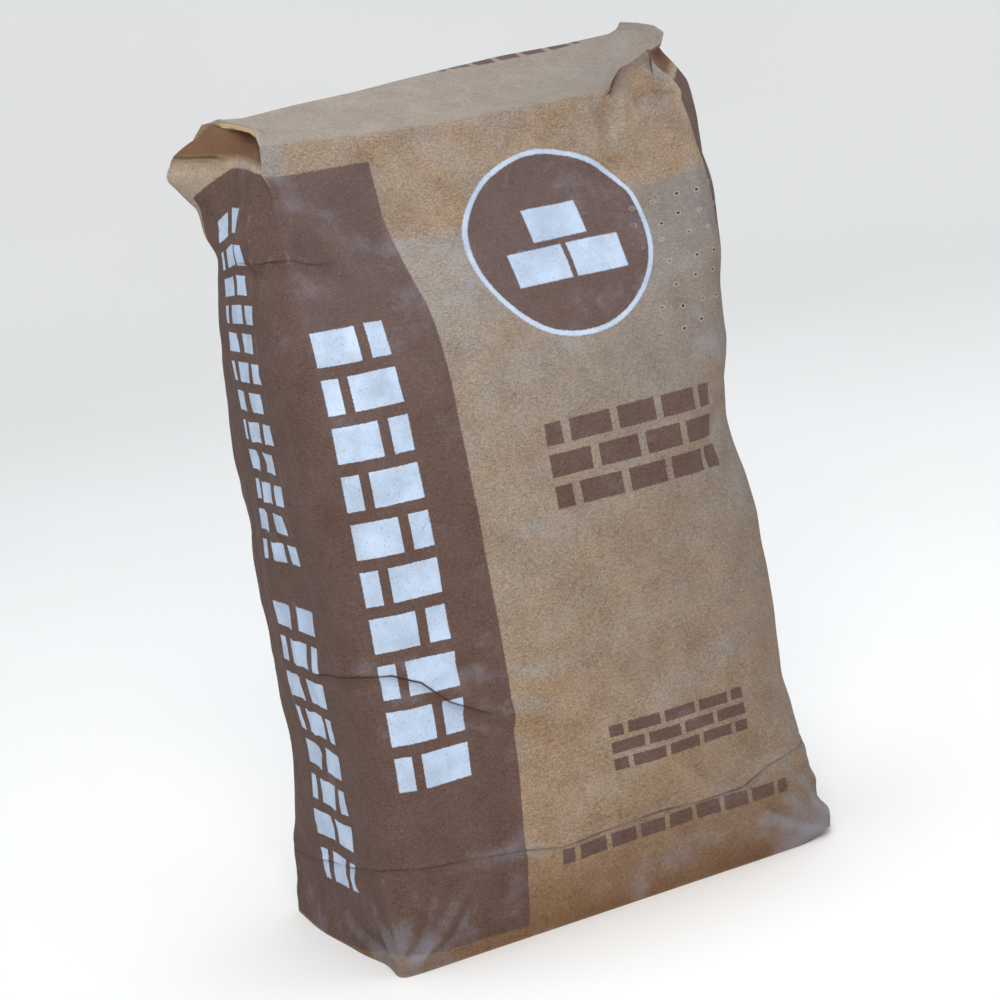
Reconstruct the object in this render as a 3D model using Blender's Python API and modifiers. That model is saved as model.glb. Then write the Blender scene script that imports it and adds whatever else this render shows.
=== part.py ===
"""Cement bag: a filled multi-ply paper valve sack that stands on its pasted bottom.

Metres, +Z up, the front faces -Y. The origin is the middle of the bottom, on the floor.
The sack is one open paper surface with a wall: a rectangular bottom, a wall lofted up through
rounded sections, and a sloping closure panel. The powder fills its lower part, and the valve
sleeve lies under the closure, with its mouth below the panel's left end.
"""

import math

import bpy
import numpy as np

# Overall sizes
CREASE_HEIGHT = 0.457
RIDGE_HEIGHT = 0.480
CLOSURE_TILT = 0.035  # rise across the closure, from its left end to its right, per metre
FILL_HEIGHT = 0.36

# Half sizes of the sack's section, each as (height, reach from the Z axis)
FRONT_REACH = (
    (0, 0.08), (0.06, 0.0835), (0.2, 0.0845), (0.3, 0.0795), (0.345, 0.0695),
    (0.385, 0.0495), (0.415, 0.0335), (0.457, 0.0275),
)
BACK_REACH = (
    (0, 0.08), (0.06, 0.084), (0.2, 0.084), (0.29, 0.08), (0.35, 0.069),
    (0.4, 0.055), (0.457, 0.0445),
)
LEFT_REACH = (
    (0, 0.1455), (0.03, 0.1435), (0.1, 0.1415), (0.2, 0.1415), (0.3, 0.1405),
    (0.36, 0.137), (0.4, 0.132), (0.457, 0.1195),
)
RIGHT_REACH = (
    (0, 0.1455), (0.03, 0.1445), (0.1, 0.1405), (0.2, 0.137), (0.27, 0.131),
    (0.31, 0.138), (0.36, 0.1465), (0.397, 0.151), (0.418, 0.148), (0.434, 0.143),
    (0.457, 0.131),
)

# Power of the superellipse that rounds the section's corners: the higher, the sharper
CORNER_POWER = (
    (0, 30), (0.02, 12), (0.06, 7.5), (0.12, 6), (0.3, 5.5),
    (0.38, 7), (0.43, 16), (0.457, 30),
)

# Ears: the folded corners that stand out at both ends of the closure
LEFT_EAR_REACH = 0.036
LEFT_EAR_HEIGHT = 0.432
LEFT_EAR_SPREAD = 0.017
LEFT_EAR_PLACE = 0.55
LEFT_EAR_WIDTH = 0.33
RIGHT_EAR_REACH = 0.034
RIGHT_EAR_SPREAD = 0.045

# Paper
PAPER_THICKNESS = 0.0006
CONTACT_GAP = 0.0003
POWDER_INSET = PAPER_THICKNESS + 3 * CONTACT_GAP

# Valve
MOUTH_HEIGHT = 0.004
MOUTH_SHARE = 0.85
SLEEVE_WIDTH = 0.046
SLEEVE_THICKNESS = 0.0024
SLEEVE_LENGTH = 0.095

# Grid
FRONT_STEPS = 20
SIDE_STEPS = 10
ROW_HEIGHTS = np.concatenate([
    np.linspace(0.0, 0.06, 6),
    np.linspace(0.09, 0.30, 7),
    np.linspace(0.32, 0.44, 9),
    [CREASE_HEIGHT - MOUTH_HEIGHT, CREASE_HEIGHT],
])


def clear_scene():
    """Remove every object of the scene."""
    for obj in list(bpy.data.objects):
        bpy.data.objects.remove(obj, do_unlink=True)


def paper_material(name, colour, roughness):
    """A plain Principled material in one linear colour."""
    material = bpy.data.materials.new(name)
    material.use_nodes = True
    shader = material.node_tree.nodes["Principled BSDF"]
    shader.inputs["Base Color"].default_value = (*colour, 1.0)
    shader.inputs["Roughness"].default_value = roughness
    shader.inputs["Metallic"].default_value = 0.0
    return material


def smooth_profile(table, height):
    """The value at a height of a cubic curve through the table's points that never swings past them.

    The slope at a point is the harmonic mean of the slopes on its two sides, or 0 at a turning point.
    """
    knots, values = np.array(table).T
    secants = np.diff(values) / np.diff(knots)
    before, after = secants[:-1], secants[1:]
    turning = before * after <= 0
    inner = np.where(turning, 0.0, 2 * before * after / np.where(turning, 1.0, before + after))
    slopes = np.concatenate([secants[:1], inner, secants[-1:]])
    low = int(np.clip(np.searchsorted(knots, height) - 1, 0, len(knots) - 2))
    high = low + 1
    width = knots[high] - knots[low]
    t = (height - knots[low]) / width
    from_low = (1 + 2 * t) * (1 - t) ** 2 * values[low] + t * (1 - t) ** 2 * width * slopes[low]
    from_high = t**2 * (3 - 2 * t) * values[high] - t**2 * (1 - t) * width * slopes[high]
    return from_low + from_high


def bump(value, centre, spread):
    """A smooth hill of height 1 at centre, down to 0.37 one spread away."""
    return np.exp(-(((value - centre) / spread) ** 2))


def square_outline():
    """(p, q) once around the square of half side 1: front, right, back, left, close-set near corners."""
    along = np.sin(np.linspace(-1, 1, FRONT_STEPS + 1) * math.pi / 2)
    across = np.sin(np.linspace(-1, 1, SIDE_STEPS + 1) * math.pi / 2)
    front = np.stack([along, -np.ones_like(along)], axis=1)
    right = np.stack([np.ones_like(across), across], axis=1)
    return np.concatenate([front[:-1], right[:-1], -front[:-1], -right[:-1]])


def sack_ring(height, inset=0.0):
    """One section of the sack: the square's outline drawn in to a superellipse, with the ears added."""
    p, q = square_outline().T
    power = smooth_profile(CORNER_POWER, height)
    rounding = (np.abs(p) ** power + np.abs(q) ** power) ** (-1 / power)
    front = smooth_profile(FRONT_REACH, height)
    back = smooth_profile(BACK_REACH, height)
    reach_x = np.where(p < 0, smooth_profile(LEFT_REACH, height), smooth_profile(RIGHT_REACH, height))
    reach_y = np.where(q < 0, front, back)
    below_rim = 1.0 if height < CREASE_HEIGHT else 0.0
    left_ear = below_rim * LEFT_EAR_REACH * bump(height, LEFT_EAR_HEIGHT, LEFT_EAR_SPREAD)
    right_ear = RIGHT_EAR_REACH * bump(height, CREASE_HEIGHT, RIGHT_EAR_SPREAD)
    left_share = bump(q, LEFT_EAR_PLACE, LEFT_EAR_WIDTH) * np.abs(p) ** 12
    right_share = ((1 + q) / 2) ** 2 * np.abs(p) ** 4
    ear = np.where(p < 0, left_ear * left_share, right_ear * right_share)
    x = (reach_x - inset + ear) * p * rounding
    y = (reach_y - inset) * q * rounding
    rise = (RIDGE_HEIGHT - CREASE_HEIGHT) * (y + front) / (front + back) + CLOSURE_TILT * x
    return np.stack([x, y, height + rise * (height / CREASE_HEIGHT) ** 2], axis=1)


def patch(ring):
    """Grid of points that fills a ring: a Coons patch between its front, right, back and left lines."""
    closed = np.concatenate([ring, ring[:1]])
    front = closed[: FRONT_STEPS + 1]
    right = closed[FRONT_STEPS : FRONT_STEPS + SIDE_STEPS + 1]
    back = closed[FRONT_STEPS + SIDE_STEPS : 2 * FRONT_STEPS + SIDE_STEPS + 1][::-1]
    left = closed[2 * FRONT_STEPS + SIDE_STEPS :][::-1]
    u = (1 + np.sin(np.linspace(-1, 1, FRONT_STEPS + 1) * math.pi / 2))[:, None, None] / 2
    v = (1 + np.sin(np.linspace(-1, 1, SIDE_STEPS + 1) * math.pi / 2))[None, :, None] / 2
    across = (1 - u) * left[None] + u * right[None]
    along = (1 - v) * front[:, None] + v * back[:, None]
    corners = (1 - u) * ((1 - v) * front[0] + v * back[0]) + u * ((1 - v) * front[-1] + v * back[-1])
    return across + along - corners


def ring_quads(ring_count, count, left_out=()):
    """The faces of a wall through rings of the same number of points, but for those left out."""
    quads = []
    for row in range(ring_count - 1):
        low, high = row * count, (row + 1) * count
        for i in range(count):
            j = (i + 1) % count
            if (row, i) not in left_out:
                quads.append((low + i, low + j, high + j, high + i))
    return quads


def closed_loft(rings, left_out=()):
    """(points, quads) of the wall through the rings, with a patch over each end."""
    count = len(rings[0])
    points = list(np.concatenate(rings))
    quads = ring_quads(len(rings), count, left_out)
    for row, faces_up in ((0, False), (len(rings) - 1, True)):
        grid = patch(rings[row])
        index = np.zeros(grid.shape[:2], int)
        around = row * count + np.arange(count + 1) % count
        index[:, 0] = around[: FRONT_STEPS + 1]
        index[-1, :] = around[FRONT_STEPS : FRONT_STEPS + SIDE_STEPS + 1]
        index[:, -1] = around[FRONT_STEPS + SIDE_STEPS : 2 * FRONT_STEPS + SIDE_STEPS + 1][::-1]
        index[0, :] = around[2 * FRONT_STEPS + SIDE_STEPS :][::-1]
        for a in range(1, FRONT_STEPS):
            for b in range(1, SIDE_STEPS):
                index[a, b] = len(points)
                points.append(grid[a, b])
        for a in range(FRONT_STEPS):
            for b in range(SIDE_STEPS):
                quad = (index[a, b], index[a + 1, b], index[a + 1, b + 1], index[a, b + 1])
                quads.append(quad if faces_up else quad[::-1])
    return np.array(points), quads


def add_mesh(name, points, quads, material, collection):
    """An object of the given points and faces, shaded smooth, in the collection."""
    mesh = bpy.data.meshes.new(name)
    mesh.from_pydata(np.asarray(points).tolist(), [], np.asarray(quads).tolist())
    mesh.shade_smooth()
    mesh.set_sharp_from_angle(angle=math.radians(40))
    mesh.materials.append(material)
    obj = bpy.data.objects.new(name, mesh)
    collection.objects.link(obj)
    return obj


def add_wall(obj, thickness):
    """Give an open paper surface its thickness, inwards."""
    solidify = obj.modifiers.new("paper wall", "SOLIDIFY")
    solidify.thickness = thickness
    solidify.offset = -1.0
    solidify.use_even_offset = True


def make_sack(collection):
    """The paper sack, closed all round but for the valve's mouth under the closure's left end."""
    count = 2 * FRONT_STEPS + 2 * SIDE_STEPS
    q = square_outline()[:, 1]
    left_start = 2 * FRONT_STEPS + SIDE_STEPS
    mouth_row = len(ROW_HEIGHTS) - 2
    mouth = {
        (mouth_row, i)
        for i in range(left_start, count)
        if abs(q[i]) < MOUTH_SHARE and abs(q[(i + 1) % count]) < MOUTH_SHARE
    }
    points, quads = closed_loft([sack_ring(height) for height in ROW_HEIGHTS], mouth)
    paper = paper_material("kraft_paper", (0.434, 0.305, 0.187), 0.85)
    sack = add_mesh("paper_sack", points, quads, paper, collection)
    add_wall(sack, PAPER_THICKNESS)


def make_fill(collection):
    """The cement powder, which fills the sack up to its own level."""
    lowest = PAPER_THICKNESS + CONTACT_GAP
    between = ROW_HEIGHTS[(ROW_HEIGHTS > 2 * lowest) & (ROW_HEIGHTS < FILL_HEIGHT)]
    rings = [sack_ring(height, POWDER_INSET) for height in (lowest, *between, FILL_HEIGHT)]
    rings[0][:, 2] = lowest
    points, quads = closed_loft(rings)
    powder = paper_material("cement_powder", (0.262, 0.262, 0.251), 0.95)
    add_mesh("cement_fill", points, quads, powder, collection)


def make_sleeve(collection):
    """The valve's flattened paper tube, which lies against the underside of the closure panel."""
    half_flat = (SLEEVE_WIDTH - SLEEVE_THICKNESS) / 2
    turn = np.linspace(-math.pi / 2, math.pi / 2, 9)
    rounded_end = SLEEVE_THICKNESS / 2 * np.stack([np.cos(turn), np.sin(turn)], axis=1) + (half_flat, 0)
    section = np.concatenate([rounded_end, -rounded_end])
    front, back = FRONT_REACH[-1][1], BACK_REACH[-1][1]
    slope = math.atan2(RIDGE_HEIGHT - CREASE_HEIGHT, front + back)
    drop = (PAPER_THICKNESS + CONTACT_GAP + SLEEVE_THICKNESS / 2) / math.cos(slope)
    middle_y = (back - front) / 2
    middle_z = (CREASE_HEIGHT + RIDGE_HEIGHT) / 2 - drop
    y = middle_y + section[:, 0] * math.cos(slope) - section[:, 1] * math.sin(slope)
    z = middle_z + section[:, 0] * math.sin(slope) + section[:, 1] * math.cos(slope)
    stations = np.linspace(0, SLEEVE_LENGTH, 5) - LEFT_REACH[-1][1]
    rings = [np.stack([np.full_like(y, x), y, z + CLOSURE_TILT * x], axis=1) for x in stations]
    quads = ring_quads(len(rings), len(section))
    lining = paper_material("valve_paper", (0.402, 0.258, 0.138), 0.85)
    sleeve = add_mesh("valve_sleeve", np.concatenate(rings), quads, lining, collection)
    add_wall(sleeve, PAPER_THICKNESS)


def main():
    clear_scene()
    collection = bpy.data.collections.new("cement_bag")
    bpy.context.scene.collection.children.link(collection)
    make_sack(collection)
    make_fill(collection)
    make_sleeve(collection)


main()
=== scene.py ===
"""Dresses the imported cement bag: creased kraft paper, print, dust, floor, lights and camera."""

import math
from functools import partial

import bpy
import numpy as np
from mathutils import Matrix, Vector


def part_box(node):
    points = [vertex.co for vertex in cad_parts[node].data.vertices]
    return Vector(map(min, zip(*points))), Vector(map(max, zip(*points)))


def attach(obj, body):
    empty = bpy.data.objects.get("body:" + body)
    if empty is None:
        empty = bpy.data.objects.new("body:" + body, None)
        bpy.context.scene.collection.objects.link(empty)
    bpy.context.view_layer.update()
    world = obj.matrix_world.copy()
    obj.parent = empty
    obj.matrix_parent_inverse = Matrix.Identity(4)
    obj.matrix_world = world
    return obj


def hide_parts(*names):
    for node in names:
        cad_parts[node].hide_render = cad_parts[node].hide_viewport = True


bl_info = {
    "name": "Cement Sack Dresser",
    "version": (1, 0, 0),
    "blender": (4, 5, 0),
    "location": "3D View > Sidebar > Sack",
    "description": "Makes a filled cement sack's creased and printed kraft paper, and its studio",
    "category": "Object",
}

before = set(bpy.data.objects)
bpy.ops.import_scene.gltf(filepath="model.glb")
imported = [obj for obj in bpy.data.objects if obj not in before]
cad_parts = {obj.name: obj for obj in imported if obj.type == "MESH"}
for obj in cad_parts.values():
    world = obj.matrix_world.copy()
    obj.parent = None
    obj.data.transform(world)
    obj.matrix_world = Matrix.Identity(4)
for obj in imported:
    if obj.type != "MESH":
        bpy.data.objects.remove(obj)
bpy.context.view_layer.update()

# Grid of the sack's skin, in paper coordinates: u runs round the tube from the middle of the
# front to the right, v runs up the paper from the bottom edge, both in metres
ROUND = 0.86
FRONT_COLUMNS = 128
SIDE_COLUMNS = 72
COLUMNS = 2 * (FRONT_COLUMNS + SIDE_COLUMNS)
CORNER_U = ROUND * FRONT_COLUMNS / COLUMNS / 2
BACK_CORNER_U = CORNER_U + ROUND * SIDE_COLUMNS / COLUMNS
CREASE_HEIGHT = 0.457
CLOSURE_DEPTH = 0.072


def metres(*tenths, columns=2):
    """Whole tenths of a millimetre as rows of metres."""
    return np.reshape(tenths, (-1, columns)) / 10000


# Half sizes of the sack's section, each row a height and the reach from the Z axis
FRONT_REACH = metres(
    0, 800, 600, 835, 2000, 845, 3000, 795, 3450, 695, 3850, 495, 4150, 335, 4570, 275,
)
BACK_REACH = metres(0, 800, 600, 840, 2000, 840, 2900, 800, 3500, 690, 4000, 550, 4570, 445)
LEFT_REACH = metres(
    0, 1440, 300, 1415, 1000, 1388, 2000, 1405, 3000, 1418, 3600, 1402, 4000, 1362, 4300, 1290,
    4570, 1195,
)
RIGHT_REACH = metres(
    0, 1450, 100, 1460, 250, 1432, 1000, 1395, 2000, 1362, 2700, 1310, 3100, 1380, 3600, 1465,
    3970, 1510, 4180, 1480, 4340, 1430, 4570, 1310,
)
# How square the section's corners are: 2 is an ellipse, and 30 is a square
LEFT_POWER = (
    (0, 30), (0.02, 12), (0.06, 7.5), (0.12, 6), (0.3, 5), (0.4, 4.5), (0.43, 6), (0.445, 12),
    (0.457, 30),
)
RIGHT_POWER = (
    (0, 30), (0.02, 12), (0.06, 7.5), (0.12, 6), (0.3, 5.5), (0.38, 7), (0.43, 16), (0.457, 30),
)

# How far the left ear stands out at each height
EAR_REACH = metres(
    0, 0, 3960, 0, 4100, 70, 4222, 114, 4280, 178, 4333, 236, 4392, 292, 4455, 255, 4507, 215,
    4550, 140, 4575, 100,
)

# The closure panel's outline, as (u, x, y, z): its front crease, right end, ridge and left end
CLOSURE_OUTLINE = metres(
    -4300, 0, 445, 4793, -4000, -300, 445, 4776, -3620, -690, 445, 4767, -3480, -820, 445, 4760,
    -3250, -990, 445, 4750, -3050, -1120, 445, 4764, -2940, -1170, 445, 4768,
    -2500, -1190, 270, 4756, -2150, -1165, 100, 4741, -1800, -1160, -80, 4722,
    -1600, -1165, -175, 4698, -1370, -1187, -275, 4640, -1240, -1110, -275, 4617,
    -750, -685, -275, 4592, -350, -310, -275, 4570, 0, 0, -275, 4558, 850, 835, -275, 4556,
    1030, 1000, -275, 4562, 1180, 1130, -180, 4660, 1370, 1320, -150, 4730, 1650, 1415, -40, 4722,
    1950, 1560, 110, 4735, 2220, 1690, 290, 4790, 2360, 1655, 330, 4835, 2620, 1570, 380, 4866,
    2940, 1490, 445, 4886, 3000, 1462, 445, 4848, 3100, 1400, 445, 4828, 3400, 1070, 445, 4819,
    3700, 670, 445, 4821, 4000, 300, 445, 4807, 4300, 0, 445, 4793,
    columns=4,
)


def smooth_profile(table, height):
    """The value at each height of a cubic curve through the table's points that never overshoots.

    The slope at a point is the harmonic mean of those on its two sides, or 0 at a turning point.
    """
    knots, values = np.array(table, float).T
    secants = np.diff(values) / np.diff(knots)
    before, after = secants[:-1], secants[1:]
    turning = before * after <= 0
    inner = np.where(turning, 0.0, 2 * before * after / np.where(turning, 1.0, before + after))
    slopes = np.concatenate([secants[:1], inner, secants[-1:]])
    low = np.clip(np.searchsorted(knots, height) - 1, 0, len(knots) - 2)
    width = knots[low + 1] - knots[low]
    t = (height - knots[low]) / width
    from_low = (1 + 2 * t) * (1 - t) ** 2 * values[low] + t * (1 - t) ** 2 * width * slopes[low]
    from_high = t**2 * (3 - 2 * t) * values[low + 1] - t**2 * (1 - t) * width * slopes[low + 1]
    return from_low + from_high


def ramp(value, start, end):
    """0 up to start, 1 from end on, and a straight line between."""
    return np.clip((value - start) / (end - start), 0, 1)


def ease(value, start, end):
    """0 up to start, 1 from end on, and an S curve between."""
    t = ramp(value, start, end)
    return t * t * (3 - 2 * t)


def tent(value, low, top, high):
    """1 at top, falling in straight lines to 0 at low and at high."""
    return np.minimum(ramp(value, low, top), ramp(value, high, top))


def hill(value, centre, spread):
    """A smooth hill of height 1 at centre, down to 0.37 one spread away."""
    return np.exp(-(((value - centre) / spread) ** 2))


def section_points(heights, u):
    """Points on the sack's plain sections, one row for each height and one column for each u.

    A section is a square's outline drawn in to a superellipse, then stretched to the reach on
    each side. Its columns stand an equal length of paper apart, but those of the front's and the
    back's middle are held there, and the corners' columns at the section's corners.
    """
    half = 150  # points on half a side of the square
    turn = np.sin(np.linspace(-1, 1, 2 * half + 1) * math.pi / 2)
    flat = np.ones_like(turn)
    sides = [(-flat, turn[::-1]), (turn, -flat), (flat, turn)]
    back = np.stack([turn[::-1], flat])
    p, q = np.concatenate(
        [back[:, half:-1], *[np.stack(side)[:, :-1] for side in sides], back[:, : half + 1]],
        axis=1,
    )
    h = heights[:, None]
    power = np.where(p < 0, smooth_profile(LEFT_POWER, h), smooth_profile(RIGHT_POWER, h))
    rounding = (np.abs(p) ** power + np.abs(q) ** power) ** (-1 / power)
    reach_x = np.where(p < 0, smooth_profile(LEFT_REACH, h), smooth_profile(RIGHT_REACH, h))
    reach_y = np.where(q < 0, smooth_profile(FRONT_REACH, h), smooth_profile(BACK_REACH, h))
    x, y = reach_x * p * rounding, reach_y * q * rounding
    lengths = np.cumsum(np.hypot(np.diff(x), np.diff(y)), axis=1)
    along = np.concatenate([np.zeros_like(h), lengths], axis=1)
    marks = half * np.array([0, 1, 3, 4, 5, 7, 8])
    held_u = np.array([CORNER_U, BACK_CORNER_U, ROUND / 2])
    held_u = np.concatenate([-held_u[::-1], [0], held_u])
    rows = []
    for row in range(len(heights)):
        s = along[row]
        held = s[marks]
        near = np.interp(u, held_u, held)
        for side in (-1, 1):
            front, corner = held[3], held[3 + side]
            t = np.clip(side * u / CORNER_U, 0, 1)
            paper = front + side * (CORNER_U * t - (CORNER_U - side * (corner - front)) * t**3)
            near = np.where((side * u >= 0) & (side * u <= CORNER_U), paper, near)
            back, corner = held[3 + 3 * side], held[3 + 2 * side]
            reach = ROUND / 2 - BACK_CORNER_U
            t = np.clip((ROUND / 2 - side * u) / reach, 0, 1)
            paper = back - side * (reach * t - (reach - side * (back - corner)) * t**3)
            near = np.where(side * u > BACK_CORNER_U, paper, near)
        rows.append([np.interp(near, s, x[row]), np.interp(near, s, y[row]), near * 0 + h[row]])
    return np.array(rows).transpose(0, 2, 1)


def outline_points(u):
    """The closure panel's outline at each u, in straight lines between the table's points."""
    at, *places = CLOSURE_OUTLINE.T
    return np.stack([np.interp(u, at, place) for place in places], axis=1)


def line_distance(u, v, line):
    """(signed distance, share of the way along) of paper points from a line of (u, v) corners."""
    best, signed, along = np.full(u.shape, 1e9), np.zeros(u.shape), np.zeros(u.shape)
    lengths = np.hypot(*np.diff(line, axis=0).T)
    before = np.concatenate([[0], np.cumsum(lengths)])
    for start, end, length, done in zip(line[:-1], line[1:], lengths, before):
        du, dv = (end - start) / length
        t = np.clip((u - start[0]) * du + (v - start[1]) * dv, 0, length)
        away_u, away_v = u - start[0] - t * du, v - start[1] - t * dv
        distance = np.hypot(away_u, away_v)
        nearer = distance < best
        best = np.where(nearer, distance, best)
        signed = np.where(nearer, distance * np.sign(du * away_v - dv * away_u), signed)
        along = np.where(nearer, (done + t) / before[-1], along)
    return signed, along


def faded(along, taper):
    """1 along a line, falling to 0 over that share of it at each end."""
    return ease(along, 0, taper) * ease(along, 1, 1 - taper)


def fold(u, v, line, depth, width, taper=0.25):
    """A crease: a tent of that height and half width along the line, with a rounded top."""
    distance, along = line_distance(u, v, line)
    blunt = 0.25 * width
    tent_top = np.clip(1 - (np.hypot(distance, blunt) - blunt) / (width - blunt), 0, 1)
    return depth * tent_top * faded(along, taper)


def lap(u, v, line, depth, near, far, taper=0.25):
    """A wrinkle that laps over: it fades over far on the line's left, over near on its right."""
    distance, along = line_distance(u, v, line)
    left = np.clip(1 - distance / far, 0, 1) ** 2
    return depth * np.where(distance > 0, left, ease(distance, -near, 0)) * faded(along, taper)


def crumple(u, v, seed, centre, spread, count, size, depth):
    """Many short random creases around a centre, each a tent across and a smooth hill along.

    Their places fall off round the centre by the spread, and size and depth are their means.
    """
    rng = np.random.default_rng(seed)
    total = np.zeros(u.shape)
    for _ in range(count):
        cu, cv = centre + rng.normal(size=2) * spread
        turn = rng.uniform(0, math.pi)
        length = size * rng.uniform(0.5, 1.6)
        width = length * rng.uniform(0.16, 0.38)
        high = depth * rng.normal()
        along = (u - cu) * math.cos(turn) + (v - cv) * math.sin(turn)
        across = -(u - cu) * math.sin(turn) + (v - cv) * math.cos(turn)
        total += high * np.clip(1 - np.abs(across) / width, 0, 1) * hill(along, 0, length)
    return total


def surface_normals(points):
    """Unit normals of a grid of points, pointing out of the sack, across its two directions."""
    normal = np.cross(np.gradient(points, axis=1), np.gradient(points, axis=0))
    return normal / np.maximum(np.linalg.norm(normal, axis=2, keepdims=True), 1e-12)


# Creases in the paper, each a line of corners in paper coordinates
MIDDLE_LAP = metres(
    -2000, 1660, -1740, 1707, -1490, 1722, -1270, 1705, -1085, 1637, -920, 1490, -780, 1415,
    -606, 1323, -488, 1256, -346, 1140, -233, 1050,
)
UPPER_LAP = metres(-2057, 4066, -1570, 4069, -1300, 4068, -1095, 4036, -937, 3995)
BOTTOM_CREASE = metres(
    -2930, 400, -2553, 422, -2080, 489, -1445, 607, -1070, 580, -578, 519, -365, 477, 311, 496,
    599, 467, 869, 477, 1084, 561, 1370, 610, 1700, 580, 2150, 520, 2930, 500,
)
PLEAT = metres(
    1364, 4700, 1236, 4652, 1177, 4631, 1118, 4606, 1058, 4558, 1004, 4489, 937, 4379, 870, 4250,
)
PLEAT_VALLEY = metres(1280, 4720, 1148, 4690, 1052, 4650, 998, 4600, 940, 4510, 880, 4400)
PLEAT_MOUTH = metres(950, 4640, 1040, 4670, 1131, 4685, 1274, 4684, 1400, 4690, 1500, 4700)
FACET_FOOT = metres(1150, 4510, 1218, 4518, 1278, 4515, 1333, 4502, 1400, 4460)
SLIT = metres(1400, 4690, 1360, 4626, 1325, 4580)
EAR_FLAP = metres(-2750, 4570, -2526, 4560, -2268, 4560, -2100, 4540)
# Each fold's row is its height, its half width and its corners
FOLDS = tuple(
    (metres(*row[2:]), *metres(*row[:2])[0])
    for row in (
        (10, 70, -1045, 1796, -863, 1767, -658, 1740, -558, 1685),
        (11, 110, -566, 1360, -415, 1296, -257, 1204),
        (7, 100, -900, 1630, -600, 1520, -300, 1470, 0, 1500),
        (-14, 90, 1404, 2807, 1189, 2578, 1088, 2477, 1009, 2313),
        (10, 120, 1500, 2900, 1280, 3000, 1040, 3040),
        (9, 100, 1680, 2620, 1400, 2810, 1180, 3120), (14, 60, -1370, 0, -1460, 300, -1530, 660),
        (12, 60, -1370, 0, -1630, 220, -1930, 550), (-10, 60, -1370, 0, -1760, 100, -2250, 300),
        (-9, 60, -1370, 0, -1270, 280, -1180, 600), (9, 60, -1370, 0, -1130, 220, -880, 500),
        (12, 70, 1370, 0, 1310, 300, 1180, 550), (-10, 70, 1370, 0, 1170, 180, 880, 360),
        (-12, 60, 1370, 0, 1490, 300, 1660, 580), (12, 70, 1370, 0, 1650, 180, 2000, 400),
        (13, 80, 1280, 750, 1370, 500, 1460, 260), (12, 70, 2930, 0, 2780, 280, 2620, 620),
        (-11, 70, 2930, 0, 3120, 260, 3360, 520), (12, 70, -2930, 0, -2820, 300, -2700, 620),
        (10, 70, -2930, 0, -3160, 240, -3440, 500), (8, 50, -2150, 600, -2150, 3850),
        (8, 50, 2150, 600, 2150, 3600), (-11, 110, -650, 4660, -520, 4360, -470, 3980),
        (12, 120, -360, 4670, -160, 4380, 0, 4020), (-10, 100, -130, 4670, 40, 4460, 120, 4140),
        (10, 100, 340, 4660, 220, 4400, 160, 4100), (-10, 90, 620, 4670, 560, 4440, 560, 4150),
        (10, 90, 840, 4670, 820, 4460, 760, 4200),
        (20, 130, -1350, 4470, -1050, 4200, -820, 3850),
        (-22, 140, -1320, 4250, -1120, 4020, -940, 3650),
        (14, 130, -1100, 3980, -960, 3600, -1000, 3150),
        (-17, 120, -920, 4470, -800, 4220, -600, 3980),
        (-17, 130, -1470, 4300, -1720, 4080, -1930, 3720),
        (11, 60, 1275, 4460, 1270, 4280, 1240, 4080),
        (-22, 70, 1130, 4500, 1229, 4513, 1297, 4508, 1398, 4473),
        (24, 70, 1330, 4575, 1373, 4537, 1426, 4491, 1473, 4417),
        (9, 90, -1376, 4650, -1300, 4400, -1250, 4100),
        (-10, 100, -1700, 4500, -1800, 4250, -1900, 3950),
        (6, 80, 1200, 4100, 850, 4050, 500, 4060),
        (11, 120, -3950, 3920, -3400, 3860, -3000, 3960),
        (10, 120, 3000, 3950, 3450, 3870, 4000, 3930),
        (-12, 110, 3300, 1600, 3750, 1720, 4200, 1650),
        (11, 100, -4000, 2300, -3500, 2220, -3000, 2380),
    )
)


CLOSURE_FOLDS = tuple(
    (metres(*row[2:]), *metres(*row[:2])[0])
    for row in (
        (-18, 120, -1340, 4860, -1180, 4700, -1060, 4690),
        (-16, 90, -1280, 5000, -1050, 4880, -800, 4740),
        (14, 90, -1250, 4820, -1080, 4920, -880, 5120),
        (-12, 120, -700, 5350, -480, 5120, -520, 4780),
        (13, 110, -300, 5400, -200, 5000, -340, 4700),
        (-14, 100, 180, 5400, 300, 5050, 240, 4720), (10, 120, 400, 4780, 700, 4900, 1000, 4860),
        (16, 100, 880, 5380, 980, 5100, 1200, 4920),
        (-20, 90, 1340, 5280, 1220, 5000, 1160, 4780),
    )
)


def crease_lines(u, v):
    """(millimetres from the nearest sharp line, its strength) at each point of the paper.

    The distance is above 0 on the line's left. The strength is above 0 for laps and valleys and
    below 0 for crowns, and it fades at the line's ends and 7 mm away from it.
    """
    nearest, strength = np.full(u.shape, 9.0), np.zeros(u.shape)
    sharp = [
        (MIDDLE_LAP[:8], 1.1, 0.15), (UPPER_LAP, 0.7, 0.25), (BOTTOM_CREASE, 0.55, 0.04),
        (EAR_FLAP, 0.7, 0.2), (SLIT, 1.3, 0.15), (PLEAT_MOUTH, 1.3, 0.2), (FACET_FOOT, 0.2, 0.25),
        *[(line, -45 * high, 0.4) for line, high, _ in CLOSURE_FOLDS],
    ]
    wavering = 0.9 + 0.3 * ripples(u, v, 47, 0.03)
    for line, strong, taper in sharp:
        distance, along = line_distance(u, v, line)
        here = strong * wavering * faded(along, taper) * ramp(np.abs(distance), 0.007, 0.004)
        nearer = np.abs(distance) * 1000 < np.abs(nearest)
        strength = np.where(nearer, here, strength)
        nearest = np.where(nearer, distance * 1000, nearest)
    return nearest, strength


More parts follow.
